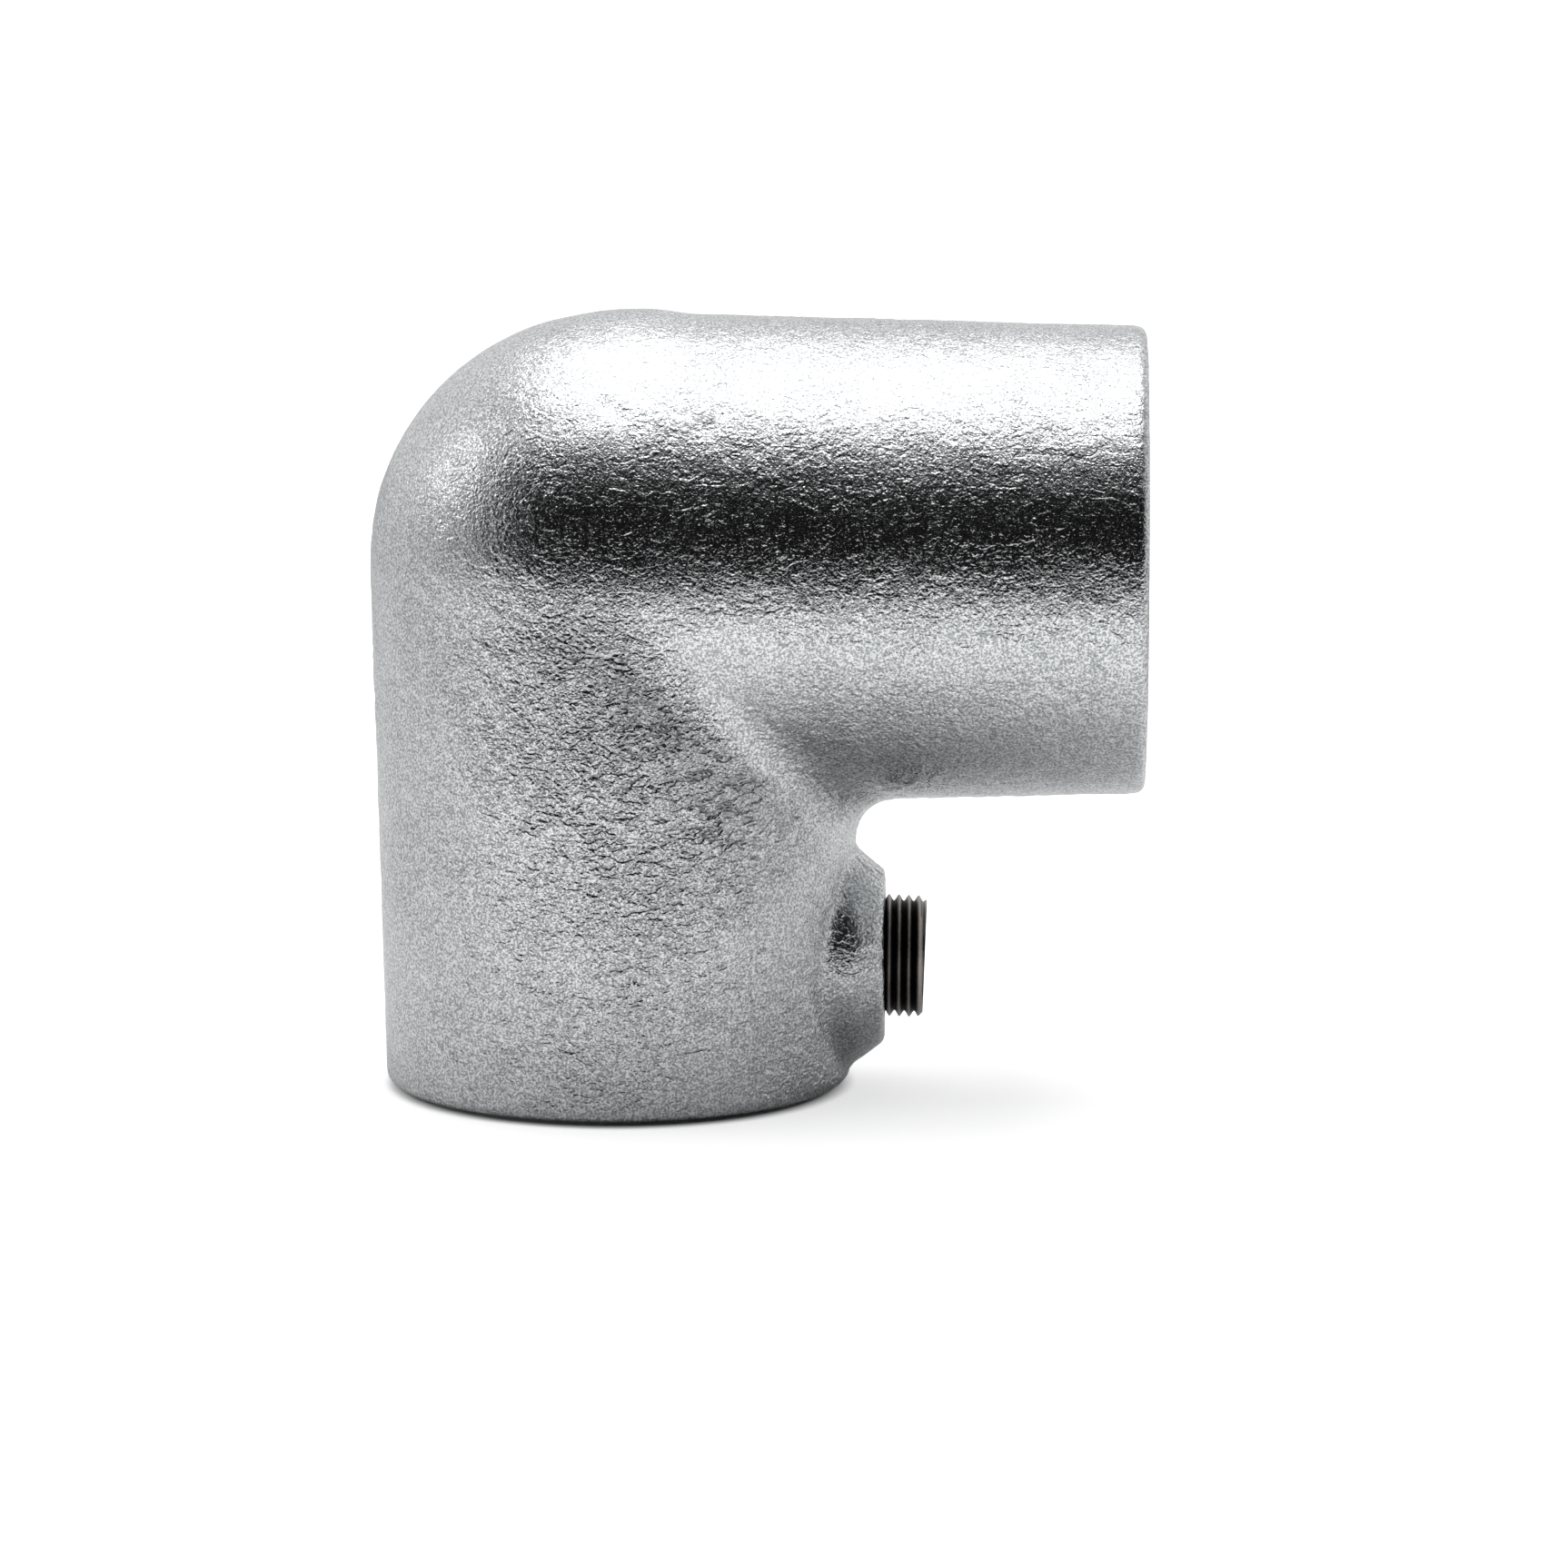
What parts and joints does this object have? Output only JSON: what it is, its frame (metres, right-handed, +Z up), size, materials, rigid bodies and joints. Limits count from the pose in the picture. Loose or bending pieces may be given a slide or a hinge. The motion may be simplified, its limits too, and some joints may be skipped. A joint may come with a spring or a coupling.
{
  "type": "tube clamp elbow",
  "caption": "Right-angle cast elbow that joins two plain tubes, each gripped in its socket by a hexagon-socket set screw.",
  "frame": {"origin": "under the middle of the whole object, at the level of the post socket's mouth, which it stands on", "axes": "+X along the rail socket, out of its mouth; +Z up the post socket's axis, away from its mouth; +Y towards the side with the rail's set screw"},
  "size_m": [0.1048, 0.0752, 0.1052],
  "materials": {
    "galvanised_iron": "sand-cast malleable iron, hot-dip galvanised, bright grey and finely pebbled",
    "dark_steel": "hardened steel, oiled dark finish, bright on the crests and the end face"
  },
  "bodies": {
    "elbow": {"elbow_body": "galvanised_iron"},
    "post_screw": {"post_set_screw": "dark_steel"},
    "rail_screw": {"rail_set_screw": "dark_steel"}
  },
  "joints": [
    {"name": "post_screw_travel", "type": "slide", "parent": "elbow", "child": "post_screw", "axis": [1, 0, 0], "range_m": [-0.00535, 0.00802]},
    {"name": "rail_screw_travel", "type": "slide", "parent": "elbow", "child": "rail_screw", "axis": [0, 1, 0], "range_m": [-0.00535, 0.00802]}
  ]
}
